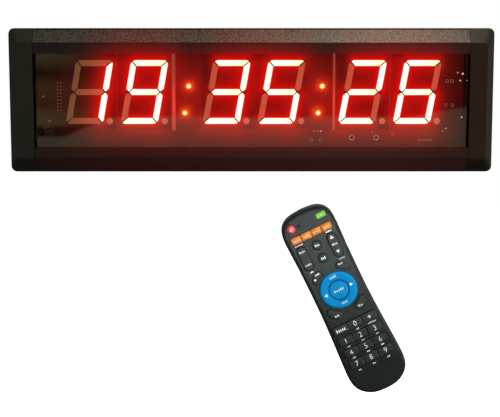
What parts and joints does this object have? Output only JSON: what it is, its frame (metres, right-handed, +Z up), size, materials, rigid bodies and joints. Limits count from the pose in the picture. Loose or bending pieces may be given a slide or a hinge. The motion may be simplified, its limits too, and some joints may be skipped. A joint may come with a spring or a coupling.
{
  "type": "gym round timer",
  "caption": "Wide black framed LED interval timer for a gym wall, with red seven-segment digits behind a clear panel, and its hand-held infrared remote with sprung keys.",
  "frame": {"origin": "middle of the timer's flat back, on the wall plane", "axes": "+X to the right along the display, +Y into the wall, +Z up; the display faces -Y"},
  "size_m": [0.3414, 0.038, 0.2663],
  "materials": {
    "case_paint": "fine sand-textured black paint",
    "cap_plastic": "smooth satin black",
    "window_acrylic": "clear gloss acrylic",
    "cover_metal": "matte black paint",
    "circuit_board": "black solder mask",
    "digit_housing": "dark red tinted face",
    "led_lens": "clear red lens",
    "dark_plastic": "satin",
    "bracket_steel": "zinc plated",
    "remote_shell": "satin dark grey",
    "remote_board": "green solder mask",
    "key_mat": "matte",
    "key_dark": "matte silicone",
    "key_red": "satin silicone",
    "key_green": "satin silicone",
    "key_orange": "satin silicone",
    "key_blue": "satin silicone",
    "cell_jacket": "gloss printed film"
  },
  "bodies": {
    "timer": {"top_rail": "case_paint", "bottom_rail": "case_paint", "left_end_cap": "cap_plastic", "right_end_cap": "cap_plastic", "window_panel": "window_acrylic", "rear_cover": "cover_metal", "main_board": "circuit_board", "infrared_receiver": "dark_plastic", "buzzer": "dark_plastic", "power_inlet": "dark_plastic", "hours_tens_digit": "digit_housing", "hours_units_digit": "digit_housing", "minutes_tens_digit": "digit_housing", "minutes_units_digit": "digit_housing", "seconds_tens_digit": "digit_housing", "seconds_units_digit": "digit_housing", "left_colon_upper_led": "led_lens", "left_colon_lower_led": "led_lens", "right_colon_upper_led": "led_lens", "right_colon_lower_led": "led_lens"},
    "left_hanger": {"left_hanger": "bracket_steel"},
    "right_hanger": {"right_hanger": "bracket_steel"},
    "remote": {"remote_front_shell": "remote_shell", "remote_back_shell": "remote_shell", "remote_board": "remote_board", "key_mat": "key_mat", "left_cell": "cell_jacket", "right_cell": "cell_jacket", "sending_led": "led_lens", "remote_indicator": "led_lens"},
    "battery_cover": {"battery_cover": "remote_shell"},
    "left_rocker_key": {"left_rocker_key": "key_dark"},
    "right_rocker_key": {"right_rocker_key": "key_dark"},
    "power_key": {"power_key": "key_red"},
    "green_key": {"green_key": "key_green"},
    "orange_key_1": {"orange_key_1": "key_orange"},
    "orange_key_2": {"orange_key_2": "key_orange"},
    "orange_key_3": {"orange_key_3": "key_orange"},
    "orange_key_4": {"orange_key_4": "key_orange"},
    "upper_round_key": {"upper_round_key": "key_dark"},
    "lower_round_key": {"lower_round_key": "key_dark"},
    "upper_left_corner_key": {"upper_left_corner_key": "key_dark"},
    "upper_right_corner_key": {"upper_right_corner_key": "key_dark"},
    "lower_left_corner_key": {"lower_left_corner_key": "key_dark"},
    "lower_right_corner_key": {"lower_right_corner_key": "key_dark"},
    "ring_key": {"ring_key": "key_blue"},
    "centre_key": {"centre_key": "key_blue"},
    "left_blank_key": {"left_blank_key": "key_dark"},
    "key_0": {"key_0": "key_dark"},
    "right_blank_key": {"right_blank_key": "key_dark"},
    "key_1": {"key_1": "key_dark"},
    "key_2": {"key_2": "key_dark"},
    "key_3": {"key_3": "key_dark"},
    "key_4": {"key_4": "key_dark"},
    "key_5": {"key_5": "key_dark"},
    "key_6": {"key_6": "key_dark"},
    "key_7": {"key_7": "key_dark"},
    "key_8": {"key_8": "key_dark"},
    "key_9": {"key_9": "key_dark"}
  },
  "joints": [
    {"name": "remote_lift_off", "type": "slide", "parent": "timer", "child": "remote", "axis": [0, -1, 0], "range_m": [0, 0.12]},
    {"name": "battery_cover_slide", "type": "slide", "parent": "remote", "child": "battery_cover", "axis": [0.4384, 0, -0.8988], "range_m": [0, 0.06]},
    {"name": "left_hanger_slide", "type": "slide", "parent": "timer", "child": "left_hanger", "axis": [1, 0, 0], "range_m": [-0.04, 0.06]},
    {"name": "right_hanger_slide", "type": "slide", "parent": "timer", "child": "right_hanger", "axis": [1, 0, 0], "range_m": [-0.06, 0.04]},
    {"name": "left_rocker_key_rock", "type": "hinge", "parent": "remote", "child": "left_rocker_key", "pos_m": [0.03917, -0.0164, -0.11518], "axis": [0.8988, 0, 0.4384], "range_deg": [-3, 3], "stiffness_Nm_per_rad": 0.27},
    {"name": "right_rocker_key_rock", "type": "hinge", "parent": "remote", "child": "right_rocker_key", "pos_m": [0.06074, -0.0164, -0.10466], "axis": [0.8988, 0, 0.4384], "range_deg": [-3, 3], "stiffness_Nm_per_rad": 0.27},
    {"name": "ring_key_press", "type": "slide", "parent": "remote", "child": "ring_key", "axis": [0, 1, 0], "range_m": [0, 0.0006], "stiffness_N_per_m": 400},
    {"name": "centre_key_press", "type": "slide", "parent": "remote", "child": "centre_key", "axis": [0, 1, 0], "range_m": [0, 0.0006], "stiffness_N_per_m": 400},
    {"name": "power_key_press", "type": "slide", "parent": "remote", "child": "power_key", "axis": [0, 1, 0], "range_m": [0, 0.0006], "stiffness_N_per_m": 400},
    {"name": "green_key_press", "type": "slide", "parent": "remote", "child": "green_key", "axis": [0, 1, 0], "range_m": [0, 0.0006], "stiffness_N_per_m": 400},
    {"name": "orange_key_1_press", "type": "slide", "parent": "remote", "child": "orange_key_1", "axis": [0, 1, 0], "range_m": [0, 0.0006], "stiffness_N_per_m": 400},
    {"name": "orange_key_2_press", "type": "slide", "parent": "remote", "child": "orange_key_2", "axis": [0, 1, 0], "range_m": [0, 0.0006], "stiffness_N_per_m": 400},
    {"name": "orange_key_3_press", "type": "slide", "parent": "remote", "child": "orange_key_3", "axis": [0, 1, 0], "range_m": [0, 0.0006], "stiffness_N_per_m": 400},
    {"name": "orange_key_4_press", "type": "slide", "parent": "remote", "child": "orange_key_4", "axis": [0, 1, 0], "range_m": [0, 0.0006], "stiffness_N_per_m": 400},
    {"name": "upper_round_key_press", "type": "slide", "parent": "remote", "child": "upper_round_key", "axis": [0, 1, 0], "range_m": [0, 0.0006], "stiffness_N_per_m": 400},
    {"name": "lower_round_key_press", "type": "slide", "parent": "remote", "child": "lower_round_key", "axis": [0, 1, 0], "range_m": [0, 0.0006], "stiffness_N_per_m": 400},
    {"name": "upper_left_corner_key_press", "type": "slide", "parent": "remote", "child": "upper_left_corner_key", "axis": [0, 1, 0], "range_m": [0, 0.0006], "stiffness_N_per_m": 400},
    {"name": "upper_right_corner_key_press", "type": "slide", "parent": "remote", "child": "upper_right_corner_key", "axis": [0, 1, 0], "range_m": [0, 0.0006], "stiffness_N_per_m": 400},
    {"name": "lower_left_corner_key_press", "type": "slide", "parent": "remote", "child": "lower_left_corner_key", "axis": [0, 1, 0], "range_m": [0, 0.0006], "stiffness_N_per_m": 400},
    {"name": "lower_right_corner_key_press", "type": "slide", "parent": "remote", "child": "lower_right_corner_key", "axis": [0, 1, 0], "range_m": [0, 0.0006], "stiffness_N_per_m": 400},
    {"name": "left_blank_key_press", "type": "slide", "parent": "remote", "child": "left_blank_key", "axis": [0, 1, 0], "range_m": [0, 0.0006], "stiffness_N_per_m": 400},
    {"name": "key_0_press", "type": "slide", "parent": "remote", "child": "key_0", "axis": [0, 1, 0], "range_m": [0, 0.0006], "stiffness_N_per_m": 400},
    {"name": "right_blank_key_press", "type": "slide", "parent": "remote", "child": "right_blank_key", "axis": [0, 1, 0], "range_m": [0, 0.0006], "stiffness_N_per_m": 400},
    {"name": "key_1_press", "type": "slide", "parent": "remote", "child": "key_1", "axis": [0, 1, 0], "range_m": [0, 0.0006], "stiffness_N_per_m": 400},
    {"name": "key_2_press", "type": "slide", "parent": "remote", "child": "key_2", "axis": [0, 1, 0], "range_m": [0, 0.0006], "stiffness_N_per_m": 400},
    {"name": "key_3_press", "type": "slide", "parent": "remote", "child": "key_3", "axis": [0, 1, 0], "range_m": [0, 0.0006], "stiffness_N_per_m": 400},
    {"name": "key_4_press", "type": "slide", "parent": "remote", "child": "key_4", "axis": [0, 1, 0], "range_m": [0, 0.0006], "stiffness_N_per_m": 400},
    {"name": "key_5_press", "type": "slide", "parent": "remote", "child": "key_5", "axis": [0, 1, 0], "range_m": [0, 0.0006], "stiffness_N_per_m": 400},
    {"name": "key_6_press", "type": "slide", "parent": "remote", "child": "key_6", "axis": [0, 1, 0], "range_m": [0, 0.0006], "stiffness_N_per_m": 400},
    {"name": "key_7_press", "type": "slide", "parent": "remote", "child": "key_7", "axis": [0, 1, 0], "range_m": [0, 0.0006], "stiffness_N_per_m": 400},
    {"name": "key_8_press", "type": "slide", "parent": "remote", "child": "key_8", "axis": [0, 1, 0], "range_m": [0, 0.0006], "stiffness_N_per_m": 400},
    {"name": "key_9_press", "type": "slide", "parent": "remote", "child": "key_9", "axis": [0, 1, 0], "range_m": [0, 0.0006], "stiffness_N_per_m": 400}
  ]
}
